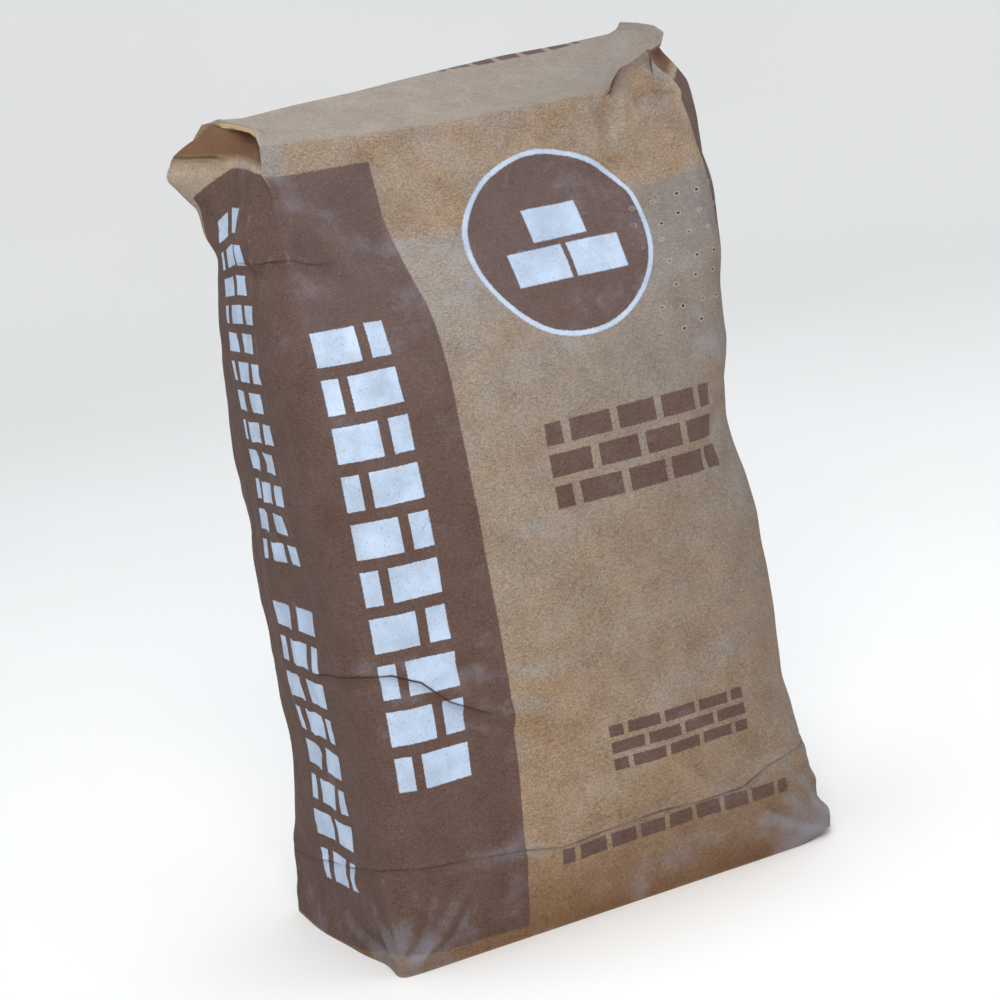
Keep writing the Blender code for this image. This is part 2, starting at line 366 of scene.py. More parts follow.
def ripples(u, v, seed, size, count=24):
    """Smooth random waves of about that wavelength: cosines of random directions and phases."""
    rng = np.random.default_rng(seed)
    total = np.zeros(u.shape)
    for _ in range(count):
        turn, phase = rng.uniform(0, 2 * math.pi, 2)
        wave = 2 * math.pi / (size * rng.uniform(0.7, 1.6))
        total += np.cos(wave * (u * math.cos(turn) + v * math.sin(turn)) + phase)
    return total / math.sqrt(count)


FOLD_HEIGHT = 1.8


def relief(u, v):
    """How far the paper stands out from its smooth shape: laps, folds and random creases."""
    low = MIDDLE_LAP - (0, 0.0055)
    total = lap(u, v, MIDDLE_LAP, 0.0025, 0.0060, 0.028) + fold(u, v, low, -0.0010, 0.0080)
    low = UPPER_LAP - (0, 0.0050)
    total += lap(u, v, UPPER_LAP, 0.0018, 0.0055, 0.022) + fold(u, v, low, -0.0008, 0.0075)
    total += fold(u, v, BOTTOM_CREASE, -0.0012, 0.0050, 0.06) + lap(
        u, v, BOTTOM_CREASE[::-1], 0.0018, 0.0045, 0.022, 0.06
    )
    total += lap(u, v, PLEAT, 0.0024, 0.0060, 0.030, 0.12)
    total += fold(u, v, PLEAT_VALLEY, -0.0022, 0.009, 0.2)
    total += fold(u, v, SLIT, -0.0035, 0.0040, 0.3)
    total += lap(u, v, EAR_FLAP, 0.0024, 0.0035, 0.03, 0.2)
    for line, high, width in FOLDS:
        total += fold(u, v, line, FOLD_HEIGHT * high, width)
    for seed, centre, spread, count, size, depth in (
        (3, (0.0, 0.235), (0.26, 0.13), 330, 0.026, 0.00038),
        (5, (-0.165, 0.420), (0.035, 0.025), 46, 0.015, 0.00055),
        (7, (0.115, 0.430), (0.035, 0.025), 46, 0.015, 0.00026),
        (11, (-0.150, 0.030), (0.045, 0.022), 46, 0.015, 0.00034),
        (13, (0.150, 0.030), (0.045, 0.022), 46, 0.015, 0.00034),
        (17, (-0.215, 0.250), (0.030, 0.120), 80, 0.016, 0.00048),
        (19, (0.215, 0.250), (0.030, 0.120), 80, 0.016, 0.00048),
        (23, (0.360, 0.230), (0.060, 0.130), 120, 0.024, 0.00034),
        (29, (-0.360, 0.230), (0.060, 0.130), 120, 0.024, 0.00034),
        (31, (-0.080, 0.155), (0.050, 0.030), 40, 0.015, 0.00036),
        (37, (0.0, 0.500), (0.080, 0.016), 60, 0.018, 0.00032),
    ):
        total += crumple(u, v, seed, np.array(centre), np.array(spread), count, size, depth)
    total += 0.0012 * ripples(u, v, 41, 0.090) + 0.00045 * ripples(u, v, 43, 0.035)
    return total


# The rings' heights, closer together where the paper is creased, and last those below the rim
HEIGHTS = np.concatenate([
    np.linspace(0.0, 0.09, 38)[:-1],
    np.linspace(0.09, 0.185, 42)[:-1],
    np.linspace(0.185, 0.36, 54)[:-1],
    np.linspace(0.36, 0.453, 54),
    [0.4546, 0.4556, 0.4563],
])
# How deep the closure's cut edge is at the sack's left end, and nearly none along its front
RIM_DROP = 0.0024
FRONT_DROP = 0.0004
# How far up the paper each height is, measured along the middle of the front
FRONT_LINE = np.linspace(0, CREASE_HEIGHT, 2001)
FRONT_PAPER = np.concatenate([
    [0], np.cumsum(np.hypot(np.diff(smooth_profile(FRONT_REACH, FRONT_LINE)), np.diff(FRONT_LINE)))
])
V_CREASE = float(FRONT_PAPER[-1])


def wall_shape(u, h):
    """The sack's wall: plain sections that lean over, at the top, to the closure's outline."""
    plain = section_points(h[:, 0], u[0])
    top = section_points(np.array([CREASE_HEIGHT]), u[0])[0]
    blend = (ramp(h, 0.35, CREASE_HEIGHT) ** 2.2)[..., None]
    points = plain + blend * (outline_points(u[0]) - top)
    foot = 1 - ease(h, 0, 0.03)
    points[..., 2] += 0.005 * hill(u, 0.139, 0.016) * foot**2
    points[..., 0] += foot * (0.0035 * hill(u, -0.163, 0.018) - 0.003 * hill(u, -0.245, 0.032))
    return points


def ears(u, h):
    """How far the folded corners stand out from the plain wall, as vectors.

    Left: a peak below the closure, full above and hollow below. Right: the paper of the side's
    back half swells towards the ear at the ridge's end.
    """
    left = smooth_profile(EAR_REACH, h) * tent(u, -0.335, -0.265, -0.205)
    right = hill(h, 0.415, 0.033) * ramp(h, CREASE_HEIGHT, 0.435) * tent(u, 0.137, 0.225, 0.33)
    return np.stack([0.0145 * right - left, -0.12 * left, 0 * left], axis=2)


def end_recess(u, h):
    """How far to the right the sides' paper is moved, so that it lies in under the closure's ends.

    It also goes down by 0.6 times as much, less towards the left's back corner, to stay clear of
    the closure.
    """
    on_left = ((u < -CORNER_U - 1e-6) & (u > -BACK_CORNER_U + 0.004)).astype(float)
    reach = 0.007 + 0.005 * ramp(u, -0.165, -CORNER_U)
    on_right = tent(u, 0.150, 0.205, 0.270)
    return (0.0065 * on_left - 0.0070 * on_right) * hill(CREASE_HEIGHT - h, 0, reach)


def patch_points(ring, f=FRONT_COLUMNS, s=SIDE_COLUMNS):
    """Points that fill a ring, from its front line to its back line: a Coons patch.

    The ring has f columns on its front and back, and s on each side, from the front's left corner.
    """
    closed = np.concatenate([ring, ring[:1]])
    front, right = closed[: f + 1], closed[f : f + s + 1]
    back, left = closed[f + s : 2 * f + s + 1][::-1], closed[2 * f + s :][::-1]
    a = np.linspace(0, 1, f + 1)[:, None, None]
    b = np.linspace(0, 1, s + 1)[None, :, None]
    across = (1 - a) * left[None] + a * right[None]
    along = (1 - b) * front[:, None] + b * back[:, None]
    left_corners = (1 - b) * front[0] + b * back[0]
    right_corners = (1 - b) * front[-1] + b * back[-1]
    return across + along - ((1 - a) * left_corners + a * right_corners)


def grid_quads(index):
    """The quads of a grid of point numbers, each corner in turn round its face."""
    corners = [index[:-1, :-1], index[1:, :-1], index[1:, 1:], index[:-1, 1:]]
    return np.stack(corners, axis=2).reshape(-1, 4, *index.shape[2:])


def closed_shell(wall, top, bottom):
    """Points and quads of a wall of rings, from the lowest up, closed by a patch at each end.

    A patch's edge points are the ring's own, so nothing is doubled and no seam is open.
    """
    rows, columns = wall.shape[:2]
    f, s = top.shape[0] - 1, top.shape[1] - 1
    index = np.arange(rows * columns).reshape(rows, columns)
    after = np.roll(index, -1, axis=1)
    quads = [np.stack([index[:-1], after[:-1], after[1:], index[1:]], axis=2).reshape(-1, 4)]
    points = [wall.reshape(rows * columns, -1)]
    count = rows * columns
    around = np.arange(columns + 1) % columns
    for patch, row, faces_up in ((top, rows - 1, True), (bottom, 0, False)):
        at = np.full((f + 1, s + 1), -1)
        at[:, 0], at[-1, :] = around[: f + 1], around[f : f + s + 1]
        at[:, -1], at[0, :] = around[f + s : 2 * f + s + 1][::-1], around[2 * f + s :][::-1]
        inner = at < 0
        at = np.where(inner, 0, at + row * columns)
        at[inner] = count + np.arange(inner.sum())
        count += int(inner.sum())
        points.append(patch[inner])
        quads.append(grid_quads(at) if faces_up else grid_quads(at)[:, ::-1])
    return np.concatenate(points), np.concatenate(quads)


def point_sums(at, values, count):
    """The sum, at each of count points, of the rows of values that belong to it."""
    return np.stack([np.bincount(at, column, count) for column in values.T], axis=1)


def bend_of(points, quads, normals):
    """How sharply the skin bends at each point, per metre, above 0 where it stands out.

    It is a point's height above the mean of its neighbours, over their mean distance squared.
    """
    starts = quads.ravel()
    ends = np.roll(quads, -1, axis=1).ravel()
    count = np.bincount(starts, minlength=len(points)).astype(float)
    middle = point_sums(starts, points[ends], len(points))
    away = np.bincount(starts, np.linalg.norm(points[ends] - points[starts], axis=1), len(points))
    gap = ((points - middle / count[:, None]) * normals).sum(axis=1)
    return 4 * gap / (away / count) ** 2


def point_normals(points, quads):
    """Unit normals of a mesh's points: the mean of the faces' normals, weighed by their size."""
    corners = points[quads]
    face = np.cross(corners[:, 2] - corners[:, 0], corners[:, 3] - corners[:, 1])
    total = point_sums(quads.ravel(), np.repeat(face, 4, axis=0), len(points))
    return total / np.maximum(np.linalg.norm(total, axis=1, keepdims=True), 1e-15)


def wall_columns(step=1):
    """Every step-th column's u, from the front's left corner round the back, and their order."""
    u = -CORNER_U + np.arange(0, COLUMNS, step) * ROUND / COLUMNS
    u = np.where(u > ROUND / 2 + 1e-9, u - ROUND, u)
    return u, np.argsort(u)


def places(u, v):
    """The paper coordinates of a grid, with a row for each v and a column for each u."""
    return np.stack(np.meshgrid(u, v), axis=2)


def wall_rings(u):
    """The wall's plain points for those columns, how they are raised, and each ring's v."""
    grid_u, grid_h = np.meshgrid(u, HEIGHTS)
    points = wall_shape(grid_u, grid_h) + ears(grid_u, grid_h)
    recess = end_recess(grid_u, grid_h)
    points[..., 0] += recess
    off_corner = ramp(np.abs(grid_u), BACK_CORNER_U - 0.010, BACK_CORNER_U - 0.070)
    points[..., 2] -= 0.6 * np.abs(recess) * np.where(grid_u < 0, off_corner, 1.0)
    rim = outline_points(u)
    left_end = (u <= -CORNER_U + 1e-6) & (u >= -BACK_CORNER_U)
    right_end = (u >= CORNER_U - 1e-6) & (u <= BACK_CORNER_U)
    drop = np.where(left_end, RIM_DROP, np.where(right_end, RIM_DROP / 2, FRONT_DROP))
    lip = rim - drop[:, None] * (0, 0, 1)
    points = np.concatenate([points, lip[None], rim[None]])
    up_paper = [*HEIGHTS, CREASE_HEIGHT - FRONT_DROP, CREASE_HEIGHT]
    up_paper = np.interp(up_paper, FRONT_LINE, FRONT_PAPER)
    wall_u, wall_v = np.meshgrid(u, up_paper)
    # round the back, the last column's neighbour is the first
    looped = np.concatenate([points[:, -1:], points, points[:, :1]], axis=1)
    normals = surface_normals(looped)[:, 1:-1]
    raised = relief(wall_u, wall_v) * (1 - ease(np.abs(wall_u), ROUND / 2 - 0.02, ROUND / 2))
    at_end = 1 - ease(wall_v, V_CREASE - 0.016, V_CREASE - 0.002)
    round_corner = ramp(np.abs(wall_u), CORNER_U - 0.012, CORNER_U)
    raised *= (1 - round_corner * (1 - at_end)) * ease(wall_v, -0.001, 0.012)
    return points, raised[..., None] * normals, up_paper


def closure_relief(u, v):
    """How far the closure panel stands out: its left end's lip, its dents and its cap's edges."""
    along = (u + CORNER_U) / (2 * CORNER_U)
    deep = (v - V_CREASE) / CLOSURE_DEPTH
    inside = np.sqrt(np.clip(16 * along * (1 - along) * deep * (1 - deep), 0, 1))
    lip = 0.0016 * hill(along, 0.012, 0.022) * ease(deep, 0.0, 0.2) * ease(deep, 1.0, 0.8)
    sag = -0.0012 * inside * hill(along, 0.30, 0.20) - 0.0010 * inside * hill(along, 0.72, 0.16)
    folds = sum(fold(u, v, line, high, width) for line, high, width in CLOSURE_FOLDS)
    return lip + sag + inside * (folds + relief(u, v))


# The brown band's right edge and its top and bottom edge, in paper coordinates, and where each
# lies in the print's own coordinates, in which the band is a rectangle
BAND_RIGHT = metres(
    66, -618, 401, -589, 870, -551, 1393, -518, 2208, -522, 3113, -526, 3672, -522, 4013, -578,
    4234, -608, 4520, -617,
)
BAND_TOP = metres(-2502, 4395, -2294, 4448, -2168, 4486, -2092, 4510, -1376, 4520, -617, 4530)
BAND_FOOT = metres(-2700, 20, -2415, -10, -1822, 35, -1461, 129, -1159, 92, -618, 66)
BAND_LEFT = metres(800, -3050, 2000, -2840, 3000, -2780, 3750, -2680, 3970, -2560, 4400, -2505)
BAND_PLACE = (-0.265, -0.052, 0.007, 0.452)
REPEAT = 0.415


def print_place(u, v):
    """The print's coordinates of paper points: its band's edges straightened, its repeat added.

    The second print stands one repeat to the right of the first, round the tube.
    """
    right = np.interp(v, *BAND_RIGHT.T) - BAND_PLACE[1]
    top = np.interp(u, *BAND_TOP.T) - BAND_PLACE[3]
    foot = np.interp(u, *BAND_FOOT.T) - BAND_PLACE[2]
    moved_u = u - right * hill(u, -0.056, 0.035)
    # left of the side's column, the paper up to the band's left edge is squeezed to fit
    column = -0.2405
    fit = (BAND_PLACE[0] - column) / (np.interp(v, *BAND_LEFT.T) - column)
    moved_u = np.where(u < column, column + (u - column) * fit, moved_u)
    moved_v = v - top * ease(v, 0.36, 0.43) * ease(u, -0.03, -0.05)
    moved_v -= foot * ease(v, 0.07, 0.03) * ease(u, -0.03, -0.05)
    middle = u.mean(axis=1, keepdims=True)
    on_wall = v.mean(axis=1, keepdims=True) < V_CREASE
    second_u = np.where(middle > 0, u - REPEAT, u + ROUND - REPEAT)
    second = ((middle > 0.14) | (middle < -0.307)) & on_wall
    return np.where(second, second_u, moved_u), np.where(second, v, moved_v)


def sack_skin():
    """The sack's whole skin, as a dictionary of its mesh's arrays.

    Points and quads, each quad corner's paper coordinates, each quad's material, and values for
    each point: how sharply the skin bends, how far it turns up to the dust, and its sharp lines.
    """
    own_u, order = wall_columns()
    plain, raised, up_paper = wall_rings(own_u[order])
    plain, raised = plain[:, np.argsort(order)], raised[:, np.argsort(order)]
    along = np.linspace(-CORNER_U, CORNER_U, FRONT_COLUMNS + 1)
    deep = np.linspace(0, CLOSURE_DEPTH, SIDE_COLUMNS + 1)
    top_place = places(along, V_CREASE + deep).transpose(1, 0, 2)
    foot_place = places(along, -deep).transpose(1, 0, 2)
    flat_points, _ = closed_shell(plain, patch_points(plain[-1]), patch_points(plain[0]))
    wall = plain + raised
    top = patch_points(wall[-1])
    out = surface_normals(top.transpose(1, 0, 2)).transpose(1, 0, 2)
    top = top + closure_relief(top_place[..., 0], top_place[..., 1])[..., None] * out
    points, quads = closed_shell(wall, top, patch_points(wall[0]))
    points[:, 2] = np.maximum(points[:, 2], 0)
    low_u = np.where(own_u >= ROUND / 2 - 1e-9, own_u - ROUND, own_u)
    high_u = low_u + ROUND / COLUMNS
    low_v, high_v = up_paper[:-1], up_paper[1:]
    corners = ((low_u, low_v), (high_u, low_v), (high_u, high_v), (low_u, high_v))
    paper = [np.stack([places(*corner) for corner in corners], axis=2).reshape(-1, 4, 2)]
    for place, turn in ((top_place, 1), (foot_place, -1)):
        paper.append(grid_quads(place)[:, ::turn])
    cut_edge = np.zeros((len(up_paper) - 1, COLUMNS), int)
    cut_edge[-1, (low_u < -CORNER_U - 1e-6) & (low_u > -BACK_CORNER_U - 1e-6)] = 1
    kinds = np.zeros(len(quads), int)
    kinds[: cut_edge.size] = cut_edge.ravel()
    normals = point_normals(points, quads)
    tilt = normals[:, 2] - point_normals(flat_points, quads)[:, 2]
    spots, _ = closed_shell(places(own_u, up_paper), top_place, foot_place)
    crease, crisp = crease_lines(*spots.T)
    return {
        "points": points, "quads": quads, "paper": np.concatenate(paper), "kinds": kinds,
        "values": {
            "bend": bend_of(points, quads, normals), "tilt": tilt, "crease": crease,
            "crisp": crisp,
        },
    }


def cement_inside(top, inset=0.007, step=4):
    """Points and quads of the settled cement: the plain wall drawn in, closed by a low heap.

    Each ring is the wall's, moved towards the Z axis by the inset. The heap's patch is raised by a
    low dome and by slow ripples.
    """
    u, order = wall_columns(step)
    grid_u, grid_h = np.meshgrid(u[order], np.linspace(0.003, top - 0.008, 48))
    wall = (wall_shape(grid_u, grid_h) + ears(grid_u, grid_h))[:, np.argsort(order)]
    reach = np.linalg.norm(wall[..., :2], axis=2, keepdims=True)
    wall[..., :2] *= 1 - inset * np.sqrt(2) / reach
    f, s = FRONT_COLUMNS // step, SIDE_COLUMNS // step
    heap = patch_points(wall[-1], f, s)
    a, b = np.meshgrid(np.linspace(0, 1, f + 1), np.linspace(0, 1, s + 1), indexing="ij")
    dome = np.sqrt(np.clip(16 * a * (1 - a) * b * (1 - b), 0, 1))
    heap[..., 2] += dome * (0.006 + 0.002 * ripples(heap[..., 0], heap[..., 1], 53, 0.045))
    foot = patch_points(wall[0], f, s)
    foot[..., 2] = np.maximum(foot[..., 2], 0.002)
    return closed_shell(wall, heap, foot)


def sleeve_points(low, high, wall=0.0006, turns=72, steps=40):
    """Points and quads of the valve's sleeve: a flat tube along X with an outer and an inner wall.

    Its section is a superellipse of power 3 that leans with the closure above it, and creases
    along it wave the wall by 0.3 mm. The two walls meet at both open ends.
    """
    turn = np.linspace(0, 2 * math.pi, turns, endpoint=False)
    x = np.linspace(low[0], high[0], steps)
    shape = (np.abs(np.cos(turn)) ** 3 + np.abs(np.sin(turn)) ** 3) ** (-1 / 3)
    half = (np.array(high) - np.array(low)) / 2
    middle = (np.array(high) + np.array(low)) / 2
    slope = 0.2
    rings = []
    for inward in (0.0, wall):
        wave = 0.0003 * np.sin(5 * turn)[None] * np.cos(60 * x)[:, None] - 0.0003
        y = middle[1] + (half[1] - inward + wave) * shape * np.cos(turn)
        z = middle[2] + (half[2] - inward + wave) * shape * np.sin(turn) + slope * (y - middle[1])
        rings.append(np.stack([np.broadcast_to(x[:, None], y.shape), y, z], axis=2))
    grid = np.concatenate([rings[0], rings[1][::-1]])
    index = np.arange(2 * steps * turns).reshape(2 * steps, turns)
    after, above = np.roll(index, -1, axis=1), np.roll(index, -1, axis=0)
    quads = np.stack([index, above, np.roll(above, -1, axis=1), after], axis=2).reshape(-1, 4)
    return grid.reshape(-1, 3), quads[:, ::-1]


MAIN_SETTING = {"Mix": "data_type", "Attribute": "attribute_name", "UVMap": "uv_map"}


def linear(code):
    """A colour as linear red, green, blue and alpha, from its sRGB hex value."""
    parts = [int(code[i : i + 2], 16) / 255 for i in (1, 3, 5)]
    return (*[c / 12.92 if c <= 0.04045 else ((c + 0.055) / 1.055) ** 2.4 for c in parts], 1.0)


def add_node(tree, kind, *values, output=0, **named):
    """Adds a node, sets or links its inputs, and gives back one of its outputs.

    The kind's second word is its main setting, and a mix takes a share and two colours. A name
    that starts with a capital is an input's, with _ for a space, and any other is a setting's.
    """
    name, _, choice = kind.partition(" ")
    node = tree.nodes.new("ShaderNode" + name)
    if choice:
        setattr(node, MAIN_SETTING.get(name, "operation"), choice)
    inputs = dict(zip((0, 6, 7), values) if name == "Mix" else enumerate(values))
    for key, value in named.items():
        if key[0].isupper():
            inputs[key.replace("_", " ")] = value
        else:
            setattr(node, key, value)
    for key, value in inputs.items():
        if isinstance(value, bpy.types.NodeSocket):
            tree.links.new(value, node.inputs[key])
        else:
            node.inputs[key].default_value = value
    return node.outputs[2 if name == "Mix" else output] if node.outputs else node


def new_material(name):
    """An empty node material, and add_node with the material's own tree."""
    material = bpy.data.materials.new(name)
    material.use_nodes = True
    material.node_tree.nodes.clear()
    return material, partial(add_node, material.node_tree)


def finish_material(node, **values):
    """Ends a material in one shader with those inputs, named as add_node names them."""
    node("OutputMaterial", node("BsdfPrincipled", **values))


def inside(node, place, centre, half, soft=0.0004):
    """1 inside a rectangle with those half sizes in metres, 0 outside, with a soft edge."""
    away = node("VectorMath SUBTRACT", place, (*centre, 0))
    away = node("VectorMath ABSOLUTE", away)
    away = node("VectorMath SUBTRACT", away, (*half, 1))
    apart = node("SeparateXYZ", away).node
    furthest = node("Math MAXIMUM", *apart.outputs[:2])
    return node("MapRange", furthest, -soft, soft, 1, 0)


def masonry(node, place, centre, half, block, row, joint):
    """1 on the blocks of a running bond that fills a rectangle of the print, 0 on its joints.

    Block width, row height and joint are in metres, and the bond starts at the rectangle's corner.
    """
    corner = (half[0] - centre[0], half[1] - centre[1], 0.0)
    moved = node("VectorMath ADD", place, corner)
    joints = node(
        "TexBrick", moved, Scale=10, Mortar_Size=joint * 5, Mortar_Smooth=0.08,
        Brick_Width=block * 10, Row_Height=row * 10, output=1,
    )
    blocks = node("Math SUBTRACT", 1, joints)
    frame_part = inside(node, place, centre, (half[0] - joint / 2, half[1] - joint / 2))
    return node("Math MULTIPLY", blocks, frame_part)


# Silver and brown masonry of the print, each as (centre, half size, block width, row, joint), and
# that of the left and of the right side
SILVER_MASONRY = (((-0.1100, 0.2335), (0.0300, 0.1335), 0.040, 0.0267, 0.0072),)
LEFT_MASONRY = (
    ((-0.2090, 0.3330), (0.0250, 0.1050), 0.022, 0.0175, 0.0062),
    ((-0.2110, 0.1230), (0.0290, 0.0850), 0.029, 0.0213, 0.0070),
)
RIGHT_MASONRY = (((-0.1830, 0.2380), (0.0220, 0.1900), 0.022, 0.0173, 0.0062),)
BROWN_MASONRY = (
    ((0.0570, 0.2620), (0.0620, 0.0270), 0.031, 0.0180, 0.0052),
    ((0.0520, 0.0945), (0.0480, 0.0150), 0.024, 0.0100, 0.0032),
    ((0.0430, 0.0415), (0.0760, 0.0060), 0.019, 0.0120, 0.0032),
    ((0.0620, 0.5385), (0.0390, 0.0055), 0.013, 0.0110, 0.0030),
)
# The disc's centre and radius, and the centres and half size of the blocks on it
DISC = ((0.040, 0.386), 0.054)
PILE = ((0.0215, 0.3735), (0.0585, 0.3735), (0.0400, 0.3985))
PILE_BLOCK = (0.0168, 0.0105)


def union(node, masks):
    """The strongest of several masks."""
    total = masks[0]
    for mask in masks[1:]:
        total = node("Math MAXIMUM", total, mask)
    return total


def kraft_print(node):
    """The print's two inks as masks, (brown, silver), in the piece's own print coordinates."""
    place = node("UVMap print")
    # ink creeps about 0.3 mm along the fibres
    creep = node("TexNoise", place, Scale=900, Detail=2, output=1)
    creep = node("VectorMath SUBTRACT", creep, (0.5, 0.5, 0.5))
    creep = node("VectorMath SCALE", creep, Scale=0.0012)
    place = node("VectorMath ADD", place, creep)
    left, right, foot, top = BAND_PLACE
    middle = ((left + right) / 2, (foot + top) / 2)
    band = inside(node, place, middle, ((right - left) / 2, (top - foot) / 2))
    centre, radius = DISC
    from_centre = node("VectorMath DISTANCE", place, (*centre, 0), output=1)
    disc = node("MapRange", from_centre, radius - 0.0004, radius + 0.0004, 1, 0)
    brown = union(node, [band, disc, *[masonry(node, place, *work) for work in BROWN_MASONRY]])
    ring = node("MapRange", from_centre, radius + 0.0024, radius + 0.0032, 1, 0)
    ring = node("Math SUBTRACT", ring, disc)
    silver = [ring, *[inside(node, place, block, PILE_BLOCK) for block in PILE]]
    silver += [masonry(node, place, *work) for work in SILVER_MASONRY]
    around = node("SeparateXYZ", node("UVMap paper"))
    for works, end in ((LEFT_MASONRY, -0.001), (RIGHT_MASONRY, 0.001)):
        this_side = node("MapRange", around, 0, end)
        column = union(node, [masonry(node, place, *work) for work in works])
        silver.append(node("Math MULTIPLY", column, this_side))
    return brown, union(node, silver)


def near(node, place, centre, close, far):
    """1 up to a distance from a point of the paper, fading to 0 at a farther one."""
    away = node("VectorMath DISTANCE", place, (*centre, 0), output=1)
    return node("MapRange", away, close, far, 1, 0)


def vent_holes(node, paper):
    """1 in the small vent holes, 0 elsewhere, and the torn rims round them, on a jittered lattice.

    The holes are 2 mm wide, 16 mm apart along a row and 12.6 mm between rows, as on valve sacks.
    """
    cells = node("VectorMath DIVIDE", paper, (0.016, 0.0126, 1))
    number = node("VectorMath FLOOR", cells)
    jitter = node("TexWhiteNoise", number, noise_dimensions="3D", output=1)
    jitter = node("VectorMath SCALE", jitter, Scale=0.30)
    local = node("VectorMath FRACTION", cells)
    local = node("VectorMath SUBTRACT", local, jitter)
    local = node("VectorMath SUBTRACT", local, (0.35, 0.35, 0))
    # a hole is 1.6 times as wide as it is high
    local = node("VectorMath MULTIPLY", local, (0.016, 0.0202, 0))
    away = node("VectorMath LENGTH", local, output=1)
    # a few have closed up, so that only the rim shows
    open_part = node("TexWhiteNoise", number, noise_dimensions="2D")
    open_part = node("MapRange", open_part, 0.15, 0.55, 0.4, 1)
    # the dark of a hole is painted shade inside it
    hole = node("MapRange", away, 0.0009, 0.0014, open_part, 0)
    rim = node("MapRange", away, 0.0014, 0.0028, 1, 0)
    patch = inside(node, paper, (0.121, 0.361), (0.033, 0.0425), 0.001)
    hole = node("Math MULTIPLY", hole, patch)
    rim = node("Math MULTIPLY", rim, patch)
    return hole, rim


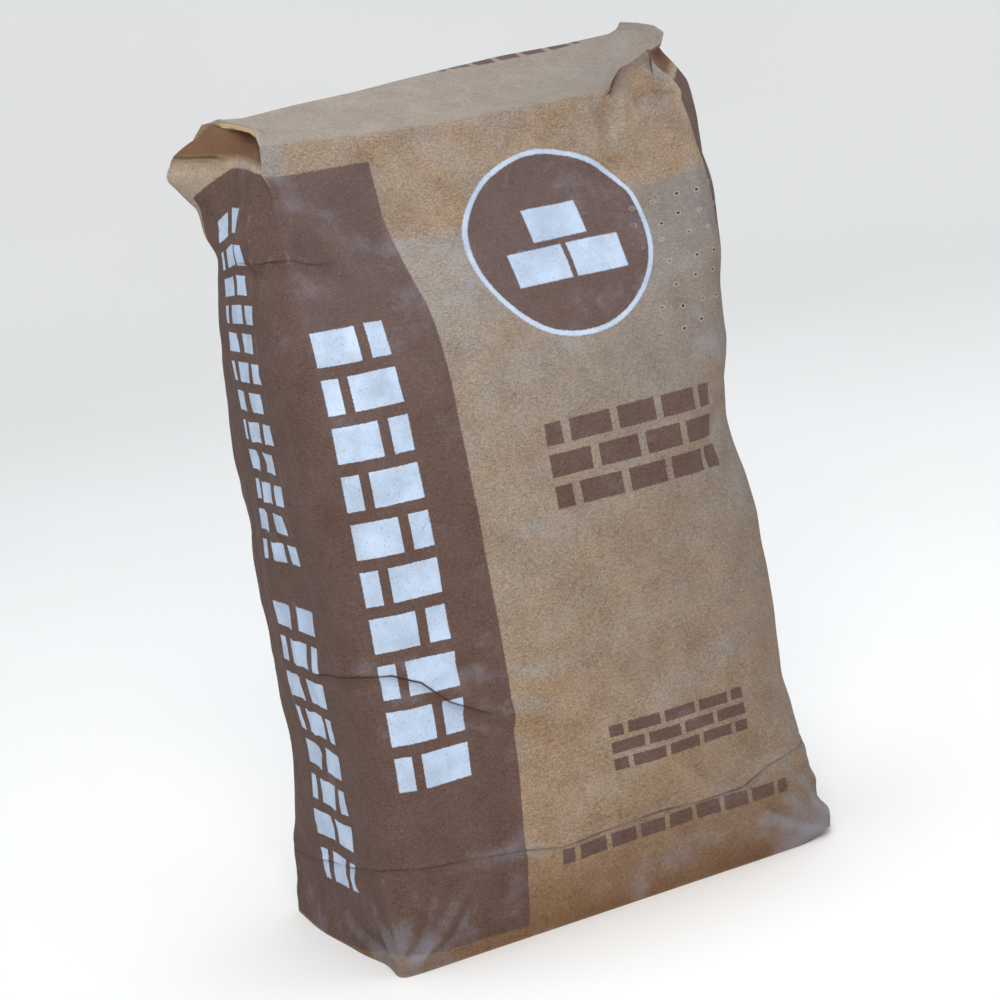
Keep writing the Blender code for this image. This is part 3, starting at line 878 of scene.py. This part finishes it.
def kraft_paper(look):
    """Kraft sack paper, machine made from long brown fibres and printed in two inks.

    The eye sees a matt tan sheet, mottled where fibres lie thick and paler where creases wore it.
    Grey cement dust lies on what faces up, thickly at the top and thinly at the foot, and a strip
    under the closure is cleaner and warmer. Shade is painted under the closure's ends, in the
    pleat's valley, in hollows and below laps, on the front's right and in the vent holes; light is
    painted on the closure, the left ear's flap and the facet beside the pleat.
    """
    material, node = new_material("kraft_paper")
    paper = node("UVMap paper")
    u, v = node("SeparateXYZ", paper).node.outputs[:2]
    solid = node("TexCoord", output=3)
    bend, tilt, crease, crisp = (
        node("Attribute " + name, output=2) for name in ("bend", "tilt", "crease", "crisp")
    )
    # patches 110 mm and 20 mm across, flecks 6 mm, fibres 2 mm long and specks 1 mm across
    drawn = node("VectorMath MULTIPLY", paper, (0.45, 1, 1))
    cloud, mottle, fleck, fibre, speck, wave, drift = (
        node("TexNoise", place, Scale=scale, Detail=detail, Roughness=rough)
        for place, scale, detail, rough in (
            (solid, 9, 5, 0.5), (solid, 50, 6, 0.65), (solid, 160, 4, 0.7), (drawn, 800, 3, 0.7),
            (solid, 1000, 1, 0.5), (paper, 22, 1, 0.5), (solid, 24, 9, 0.72),
        )
    )
    fibre.node.inputs["Distortion"].default_value = 0.8
    tone = node("Math MULTIPLY", mottle, 0.25)
    tone = node("Math MULTIPLY_ADD", fibre, 0.35, tone)
    tone = node("Math MULTIPLY_ADD", speck, 0.3, tone)
    tone = node("MapRange", tone, 0.35, 0.55)
    # the clean strip's edges waver by a few millimetres
    height = node("Math MULTIPLY_ADD", wave, 0.012, v)
    above_low = node("MapRange", height, 0.4125, 0.4150)
    below_crease = node("MapRange", height, V_CREASE + 0.011, V_CREASE + 0.003)
    clean = node("Math MULTIPLY", above_low, below_crease)
    facing_up = node("MapRange", tilt, -0.16, 0.16, -0.22, 0.22)
    # the ears' upper paper lies sheltered under the closure's ends: less dust, and painted shade
    side_u = node("Math ABSOLUTE", u)
    aside = node("MapRange", side_u, CORNER_U, CORNER_U + 0.003)
    sheltered_and_shaded = node("MapRange", v, 0.4535, 0.4575)
    sheltered_and_shaded = node("Math MULTIPLY", aside, sheltered_and_shaded)
    not_back = node("MapRange", side_u, BACK_CORNER_U, BACK_CORNER_U - 0.008)
    sheltered_and_shaded = node("Math MULTIPLY", sheltered_and_shaded, not_back)
    # the left ear's lower flap: a little more dust, and painted light below
    on_flap = node("MapRange", v, 0.425, 0.437, 0, 0.12)
    on_flap = node("Math MULTIPLY", on_flap, aside)
    # more dust gathers where the lower corners touched the ground and on the closure's left end,
    # where it turns down over the corner; on the facet beside the pleat this paleness is painted
    # sky light
    corner = node("CombineXYZ", side_u, v, 0)
    dust_and_facet_light = union(node, [
        near(node, corner, (CORNER_U, 0.008), 0.008, 0.048),
        near(node, paper, (-0.13, 0.4625), 0.007, 0.016),
        # painted light: the facet beside the pleat, pale and blue as it faces the sky
        near(node, paper, (0.14, 0.457), 0.004, 0.012),
    ])
    # the film of dust, from how high it is, what faces up, and the same patches, flecks and specks
    film = node("MapRange", v, 0.01, 0.42)
    film = node("Math POWER", film, 0.7)
    film = node("MapRange", film, 0, 1, look.dust_foot, look.dust_top)
    film = node("Math MULTIPLY_ADD", clean, -0.48, film)
    film = node("Math ADD", film, facing_up)
    film = node("Math MULTIPLY_ADD", sheltered_and_shaded, -0.8, film)
    film = node("Math ADD", film, on_flap)
    for part, much in (
        (dust_and_facet_light, 0.7), (cloud, 0.22), (mottle, 0.18), (fleck, 0.25), (speck, 0.35)
    ):
        film = node("Math MULTIPLY_ADD", part, much, film)
    film = node("Math SUBTRACT", film, 0.5, use_clamp=True)
    # darker, warmer: painted shade under the closure's ends and in the pleat's valley; also the
    # foot
    foot = node("MapRange", v, 0.06, 0, 0, 0.66)
    # painted shade in the pleat's valley, between the closure's edge and the pleat
    pleat_valley_shade = near(node, paper, (0.114, 0.474), 0.004, 0.018)
    sheltered_and_shaded = node("Math MAXIMUM", sheltered_and_shaded, pleat_valley_shade)
    shade = node("Math MULTIPLY_ADD", sheltered_and_shaded, 0.82, foot)
    # painted shade: greyer and darker on the front's right, which turns from the light, less in
    # the
    # clean strip. Painted light: the closure, which faces up, and the left ear's flap, paler
    right_shade_amount = node("MapRange", clean, 0, 1, 0.36, 0.06)
    right_side_shade = node("MapRange", u, -0.04, 0.145, 0, right_shade_amount)
    top_and_flap_light = node("MapRange", height, V_CREASE + 0.003, V_CREASE + 0.011, 0, 0.13)
    top_and_flap_light = node("Math MULTIPLY_ADD", on_flap, 1.5, top_and_flap_light)
    # inks, thinned where fibres stand up and where creases rubbed them
    brown, silver = kraft_print(node)
    worn = node("MapRange", bend, 150, 900, 0, 0.8)
    worn = node("Math MULTIPLY", worn, fleck)
    held = node("MapRange", speck, 0.66, 0.8, 0.97, 0.8)
    held = node("Math SUBTRACT", held, worn, use_clamp=True)
    brown = node("Math MULTIPLY", brown, held)
    silver_held = node("MapRange", speck, 0.62, 0.76, 0.96, 0.45)
    silver = node("Math MULTIPLY", silver, silver_held)
    sheen = node("MapRange", mottle, 0.38, 0.62)
    # fibres show pale on a crease's crown; grime and painted shade lie in its valley
    off_line = node("Math ABSOLUTE", crease)
    on_line = node("MapRange", off_line, 0.05, 0.8, 1, 0)
    crown = node("MapRange", crisp, 0, -1, 0, 1)
    crown = node("Math MULTIPLY", crown, on_line)
    pale = node("Math MULTIPLY_ADD", worn, 0.4, crown)
    # a lap also gets 5 mm of painted shadow and grime on its lower side, below its overhang
    lap_shade_and_grime = node("MapRange", crease, -5, -0.2, 0, 0.38)
    on_top = node("MapRange", crease, 0, 1.2, 1, 0)
    lap_shade_and_grime = node("Math MULTIPLY", lap_shade_and_grime, on_top)
    lap_shade_and_grime = node("Math MULTIPLY_ADD", on_line, 0.8, lap_shade_and_grime)
    valley = node("MapRange", crisp, 0, 1)
    valley = node("Math MULTIPLY", valley, lap_shade_and_grime, use_clamp=True)
    # hollows where the skin bends in: grime and painted shade
    grime_and_shade = node("MapRange", bend, -120, -700, 0, 0.45)
    grime_and_shade = node("Math MAXIMUM", grime_and_shade, valley)
    # cement powder, over ink as well as paper: an even haze at the top, a few drifts, scratches
    drift = node("Math MULTIPLY_ADD", facing_up, 0.35, drift)
    haze = node("MapRange", aside, 0, 1, 0.06, 0.01)
    high = node("MapRange", v, 0.25, 0.46, 0, haze)
    drift = node("Math ADD", drift, high)
    low = node("MapRange", v, 0, 0.06, 0.07, 0)
    drift = node("Math ADD", drift, low)
    drift = node("Math MULTIPLY_ADD", dust_and_facet_light, 0.27, drift)
    slant = node(
        "Mapping", paper, Rotation=(0, 0, 0.6), Scale=(1, 0.35, 1), vector_type="TEXTURE"
    )
    scratch = node("TexNoise", slant, Scale=60, Detail=3, Distortion=0.6)
    scratch = node("Math SUBTRACT", scratch, 0.5)
    scratch = node("Math ABSOLUTE", scratch)
    scratch = node("MapRange", scratch, 0, 0.014, 1, 0)
    scuffed = node("MapRange", drift, 0.54, 0.72, 0, 0.3)
    scratch = node("Math MULTIPLY", scratch, scuffed)
    drift = node("MapRange", drift, 0.58, 0.95, 0, look.powder)
    drift = node("Math MAXIMUM", drift, scratch)
    drift = node("Math MULTIPLY_ADD", high, 1, drift)
    no_ink = node("MapRange", brown, 0, 1, 1, 0.1)
    bare = node("MapRange", height, 0.4125, 0.4150)
    bare = node("Math MULTIPLY", bare, no_ink)
    bare = node("Math MAXIMUM", sheltered_and_shaded, bare)
    bare = node("MapRange", bare, 0, 1, 1, 0.3)
    drift = node("Math MULTIPLY", drift, bare)
    hole, rim = vent_holes(node, paper)
    torn = node("Math MULTIPLY", rim, 0.5)
    # each colour in turn lies over those before it
    colour = node("Mix RGBA", tone, look.fibre_dark, look.fibre_light)
    for share, over in (
        (film, node("Mix RGBA", tone, look.dusty_dark, look.dusty_light)),
        # painted shade on the front's right, where it turns from the light
        (right_side_shade, linear("#4C4A50")),
        # painted light on the closure and the left ear's flap
        (top_and_flap_light, linear("#C6B8A6")),
        # painted shade under the closure's ends and in the pleat's valley; the foot darker too
        (shade, linear("#59381E")),
        (brown, node("Mix RGBA", tone, look.brown_ink, look.brown_ink_light)),
        (silver, node("Mix RGBA", sheen, linear("#AABBD2"), look.silver_ink)),
        (pale, linear("#C9BBA6")),
        # grime and painted shade in valleys, in hollows and below laps
        (grime_and_shade, linear("#3B2A1E")),
        (drift, look.powder_colour),
        (torn, linear("#B9AB98")),
        # painted shade inside the vent holes
        (hole, linear("#2A211A")),
    ):
        colour = node("Mix RGBA", share, colour, over)
    # relief in millimetres: fibres 0.2, facets 2.2 and 0.4 high between fine creases, holes 0.4
    bent = node("TexNoise", solid, Scale=26, Detail=3, output=1)
    bent = node("VectorMath SCALE", bent, Scale=0.03)
    bent = node("VectorMath ADD", solid, bent)
    facet = node("TexVoronoi", bent, Scale=30, feature="F1")
    small = node("TexVoronoi", bent, Scale=95, feature="F1")
    step = node("MapRange", crease, -0.8, 0.8, -0.4, 0.4)
    relief_mm = node("Math MULTIPLY", facet, 2.2)
    for part, much in ((small, 0.4), (fibre, 0.2), (hole, -0.4), (rim, 0.2), (step, crisp)):
        relief_mm = node("Math MULTIPLY_ADD", part, much, relief_mm)
    finish_material(
        node, Base_Color=colour, Roughness=node("MapRange", silver, 0, 1, 0.88, 0.5),
        Metallic=node("Math MULTIPLY", silver, 0.2), IOR=1.45, Specular_IOR_Level=0.3,
        Normal=node("Bump", Strength=1, Distance=0.001, Height=relief_mm),
    )
    return material


def cut_paper_edge():
    """Cut edge of several kraft plies, torn on a serrated knife: pale, rough, faintly striped."""
    material, node = new_material("kraft_cut_edge")
    solid = node("TexCoord", output=3)
    # plies 0.15 mm thick, drawn 0.6 mm apart so that they show
    plies = node("TexWave", solid, Scale=260, Distortion=3, Detail=2, bands_direction="Z")
    fibre = node("TexNoise", solid, Scale=900, Detail=2)
    tone = node("Math MULTIPLY", plies, fibre)
    colour = node("Mix RGBA", tone, linear("#B89B73"), linear("#DCC8A6"))
    bump = node("Bump", Strength=0.8, Distance=0.0004, Height=tone)
    finish_material(node, Base_Color=colour, Roughness=0.9, IOR=1.45, Normal=bump)
    return material


def valve_paper(look):
    """Kraft paper of the valve's sleeve, machine made and bare: warm tan, clean and matt."""
    material, node = new_material("valve_paper")
    solid = node("TexCoord", output=3)
    mottle = node("TexNoise", solid, Scale=60, Detail=6)
    fibre = node("TexNoise", solid, Scale=800, Detail=3)
    tone = node("Math MULTIPLY", mottle, fibre)
    tone = node("MapRange", tone, 0.14, 0.36)
    colour = node("Mix RGBA", tone, look.fibre_dark, look.fibre_light)
    bump = node("Bump", Strength=0.6, Distance=0.0005, Height=fibre)
    finish_material(node, Base_Color=colour, Roughness=0.85, IOR=1.45, Normal=bump)
    return material


def cement_powder():
    """Portland cement, ground to a fine powder and settled: matt, soft grey, faintly lumpy."""
    material, node = new_material("cement_powder")
    solid = node("TexCoord", output=3)
    lumps = node("TexNoise", solid, Scale=90, Detail=8)
    # grains are 0.02 mm, drawn as clots 0.7 mm across so that they show
    clots = node("TexNoise", solid, Scale=1400, Detail=2)
    tone = node("Math MULTIPLY_ADD", clots, 0.4, lumps)
    shade = node("MapRange", tone, 0.5, 0.9)
    colour = node("Mix RGBA", shade, linear("#7D7F7F"), linear("#A9AAA8"))
    bump = node("Bump", Strength=0.7, Distance=0.002, Height=tone)
    finish_material(node, Base_Color=colour, Roughness=0.95, IOR=1.5, Normal=bump)
    return material


def studio_paper(studio):
    """Matt seamless background paper, rolled pulp board: plain, pale and slightly uneven."""
    material, node = new_material("background_paper")
    solid = node("TexCoord", output=3)
    cloud = node("TexNoise", solid, Scale=2, Detail=2)
    colour = node("Mix RGBA", cloud, studio.floor, linear("#FBFBFA"))
    finish_material(node, Base_Color=colour, Roughness=0.95, IOR=1.45)
    return material


def new_piece(name, points, quads, materials, kinds=None, maps=(), per_point=()):
    """A mesh object at the origin, with each quad's material, UV maps and values for points."""
    mesh = bpy.data.meshes.new(name)
    mesh.from_pydata(points.tolist(), [], quads.tolist())
    for map_name, place in maps:
        layer = mesh.uv_layers.new(name=map_name)
        layer.data.foreach_set("uv", np.ascontiguousarray(place, dtype=np.float32).ravel())
    for value_name, values in per_point:
        layer = mesh.attributes.new(value_name, "FLOAT", "POINT")
        layer.data.foreach_set("value", values.astype(np.float32))
    for material in materials:
        mesh.materials.append(material)
    if kinds is not None:
        mesh.polygons.foreach_set("material_index", kinds.astype(np.int32))
    mesh.shade_smooth()
    piece = bpy.data.objects.new(name, mesh)
    bpy.context.scene.collection.objects.link(piece)
    return piece


def bowl_points(radius, rim_height, cove, steps=24, turns=72):
    """A round floor that curves up into a wall: a profile turned about the Z axis.

    The profile is flat to the cove, then a quarter of a circle, then straight up to the rim.
    """
    quarter = np.linspace(0, math.pi / 2, steps)
    reach = np.concatenate([
        np.linspace(0.02, radius - cove, 12)[:-1], radius - cove + cove * np.sin(quarter), [radius]
    ])
    height = np.concatenate([np.zeros(11), cove * (1 - np.cos(quarter)), [rim_height]])
    turn = np.linspace(0, 2 * math.pi, turns, endpoint=False)
    ring = np.stack([np.cos(turn), np.sin(turn)], axis=1)
    flat = reach[:, None, None] * ring[None]
    tall = np.broadcast_to(height[:, None, None], (*flat.shape[:2], 1))
    points = np.concatenate([flat, tall], axis=2).reshape(-1, 3)
    index = np.arange(len(reach) * turns).reshape(len(reach), turns)
    after = np.roll(index, -1, axis=1)
    quads = np.stack([index[:-1], index[1:], after[1:], after[:-1]], axis=2).reshape(-1, 4)
    return points, quads


def colour_setting(name, description, code):
    """A colour that a user can change."""
    return bpy.props.FloatVectorProperty(
        name=name, description=description, default=linear(code), size=4, min=0, max=1,
        subtype="COLOR",
    )


def share_setting(name, description, share):
    """An amount from 0 to 1 that a user can change."""
    return bpy.props.FloatProperty(
        name=name, description=description, default=share, min=0, max=1, subtype="FACTOR"
    )


def power_setting(name, description, watts):
    """A lamp's power that a user can change."""
    return bpy.props.FloatProperty(
        name=name, description=description, default=watts, min=0, unit="POWER"
    )


class SackLook(bpy.types.PropertyGroup):
    """Colours and amounts of the sack's paper, print and dust."""

    fibre_dark: colour_setting("Dark fibre", "Kraft paper's darker mottling", "#755D46")
    fibre_light: colour_setting("Light fibre", "Kraft paper's lighter mottling", "#A78B6D")
    dusty_dark: colour_setting("Darker dusty kraft", "Darker mottling under cement", "#756C63")
    dusty_light: colour_setting("Lighter dusty kraft", "Lighter mottling under cement", "#9C9389")
    brown_ink: colour_setting("Brown ink", "The print's brown", "#4F3B33")
    brown_ink_light: colour_setting("Thin brown ink", "The brown where it took thinly", "#634F4A")
    silver_ink: colour_setting("Silver ink", "The print's pale silver", "#BDD0E8")
    powder_colour: colour_setting("Cement dust", "Dry cement dust", "#9CA5B8")
    dust_top: share_setting("Dust film above", "How far dust hides the top's paper", 0.95)
    dust_foot: share_setting("Dust film below", "How far dust hides the foot's paper", 0.05)
    powder: share_setting("Dust drifts", "How strongly drifts of dust show", 0.38)


class StudioLook(bpy.types.PropertyGroup):
    """The studio round the sack."""

    floor: colour_setting("Floor", "Seamless background paper", "#F4F4F2")
    radius: bpy.props.FloatProperty(
        name="Floor radius", description="From the sack to the curved wall",
        default=3.6, min=3.0, unit="LENGTH",
    )
    key_power: power_setting("Key light", "Power of the large soft light", 32.0)
    fill_power: power_setting("Fill light", "Power of the soft light on the other side", 4.0)
    top_power: power_setting("Top light", "Power of the wide light above", 40.0)
    sky: bpy.props.FloatProperty(
        name="Sky", description="Strength of the even light from all round", default=0.45, min=0
    )


# Faces that meet at more than this are shaded with an edge between them
SHARP_ANGLE = math.radians(55)


class SACK_OT_paper(bpy.types.Operator):
    """Makes the sack's creased and printed kraft paper, which stands for the plain solid."""

    bl_idname = "sack.paper"
    bl_label = "Kraft paper sack"

    def execute(self, context):
        look = context.scene.sack_look
        skin = sack_skin()
        paper = skin["paper"]
        place = np.stack(print_place(paper[..., 0], paper[..., 1]), axis=2)
        atlas = (paper + (ROUND / 2, CLOSURE_DEPTH)) / (ROUND, V_CREASE + 2 * CLOSURE_DEPTH)
        piece = new_piece(
            "sack_kraft_paper", skin["points"], skin["quads"],
            [kraft_paper(look), cut_paper_edge()], skin["kinds"],
            (("paper", paper), ("print", place), ("OFBake", atlas)),
            skin["values"].items(),
        )
        piece.data.set_sharp_from_angle(angle=SHARP_ANGLE)
        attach(piece, "root")
        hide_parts("paper_sack")
        return {"FINISHED"}


class SACK_OT_cement(bpy.types.Operator):
    """Makes the settled cement inside the sack, which stands for the plain solid."""

    bl_idname = "sack.cement"
    bl_label = "Cement"

    def execute(self, context):
        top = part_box("cement_fill")[1][2]
        piece = new_piece("cement_powder_fill", *cement_inside(top), [cement_powder()])
        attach(piece, "root")
        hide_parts("cement_fill")
        return {"FINISHED"}


class SACK_OT_valve(bpy.types.Operator):
    """Makes the valve's flat paper sleeve behind the closure, which stands for the plain solid."""

    bl_idname = "sack.valve"
    bl_label = "Valve sleeve"

    def execute(self, context):
        low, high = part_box("valve_sleeve")
        # its mouth ends in the paper's fold, 8 mm in from the solid's
        low = (low[0] + 0.008, low[1] + 0.002, low[2] + 0.0015)
        high = (high[0], high[1] - 0.002, high[2] - 0.0125)
        material = valve_paper(context.scene.sack_look)
        piece = new_piece("valve_sleeve_paper", *sleeve_points(low, high), [material])
        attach(piece, "root")
        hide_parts("valve_sleeve")
        return {"FINISHED"}


# What the lights are aimed at
SACK_MIDDLE = Vector((0, 0, 0.24))
# The camera stands 24 degrees to the left and 12 up, and leans 9.5 degrees as the photo does
CAMERA_BACK = Vector((-0.3979, -0.8936, 0.2079))
CAMERA_RIGHT = Vector((0.9135, -0.4067, 0))
CAMERA_LEAN = math.radians(9.5)
CAMERA_AIM = Vector((0, 0.001, 0.232))
CAMERA_DISTANCE = 1.615
CAMERA_LENS = 99.3


class SACK_OT_studio(bpy.types.Operator):
    """Makes the pale floor with its curved wall, the soft lights and the camera."""

    bl_idname = "sack.studio"
    bl_label = "Floor, lights and camera"

    def execute(self, context):
        scene, studio = context.scene, context.scene.sack_studio
        bowl = bowl_points(studio.radius, rim_height=2.4, cove=1.4)
        floor = new_piece("studio_floor", *bowl, [studio_paper(studio)])
        world = bpy.data.worlds.new("studio_sky")
        world.use_nodes = True
        world.node_tree.nodes.clear()
        light = linear("#F4F7FB"), studio.sky
        sky = add_node(world.node_tree, "Background", *light)
        add_node(world.node_tree, "OutputWorld", Surface=sky)
        scene.world = world
        for name, place, size, power, tint in (
            ("key_light", (-0.80, -1.85, 1.75), 1.2, studio.key_power, "#FFF9F1"),
            ("fill_light", (1.9, -1.2, 1.2), 1.4, studio.fill_power, "#FFFFFF"),
            ("top_light", (0.1, 0.2, 2.9), 2.6, studio.top_power, "#F1F6FF"),
        ):
            lamp = bpy.data.lights.new(name, "AREA")
            lamp.shape, lamp.size, lamp.energy = "DISK", size, power
            lamp.color = linear(tint)[:3]
            holder = bpy.data.objects.new(name, lamp)
            turn = (SACK_MIDDLE - Vector(place)).to_track_quat("-Z", "Y").to_matrix()
            holder.matrix_world = Matrix.Translation(place) @ turn.to_4x4()
            scene.collection.objects.link(holder)
        back, right = CAMERA_BACK.normalized(), CAMERA_RIGHT.normalized()
        up = back.cross(right)
        across = right * math.cos(CAMERA_LEAN) - up * math.sin(CAMERA_LEAN)
        tall = up * math.cos(CAMERA_LEAN) + right * math.sin(CAMERA_LEAN)
        camera = bpy.data.objects.new("camera", bpy.data.cameras.new("camera"))
        camera.data.lens, camera.data.sensor_width = CAMERA_LENS, 36
        turn = Matrix((across, tall, back)).transposed().to_4x4()
        camera.matrix_world = Matrix.Translation(CAMERA_AIM + back * CAMERA_DISTANCE) @ turn
        scene.collection.objects.link(camera)
        scene.camera = camera
        scene.view_settings.view_transform = "Standard"
        return {"FINISHED"}


class SACK_PT_panel(bpy.types.Panel):
    """Lists the sack's pieces and their settings."""

    bl_idname = "SACK_PT_panel"
    bl_label = "Cement sack"
    bl_space_type = "VIEW_3D"
    bl_region_type = "UI"
    bl_category = "Sack"

    def draw(self, context):
        for group, operators in (
            (context.scene.sack_look, ("sack.paper", "sack.cement", "sack.valve")),
            (context.scene.sack_studio, ("sack.studio",)),
        ):
            box = self.layout.box()
            for name in group.bl_rna.properties.keys():
                if name not in ("rna_type", "name"):
                    box.prop(group, name)
            for operator in operators:
                box.operator(operator)


CLASSES = (
    SackLook, StudioLook, SACK_OT_paper, SACK_OT_cement, SACK_OT_valve, SACK_OT_studio,
    SACK_PT_panel,
)


def register():
    for item in CLASSES:
        bpy.utils.register_class(item)
    bpy.types.Scene.sack_look = bpy.props.PointerProperty(type=SackLook)
    bpy.types.Scene.sack_studio = bpy.props.PointerProperty(type=StudioLook)


def unregister():
    del bpy.types.Scene.sack_studio
    del bpy.types.Scene.sack_look
    for item in reversed(CLASSES):
        bpy.utils.unregister_class(item)


def main():
    """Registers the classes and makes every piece."""
    register()
    bpy.ops.sack.paper()
    bpy.ops.sack.cement()
    bpy.ops.sack.valve()
    bpy.ops.sack.studio()


if __name__ == "__main__":
    main()
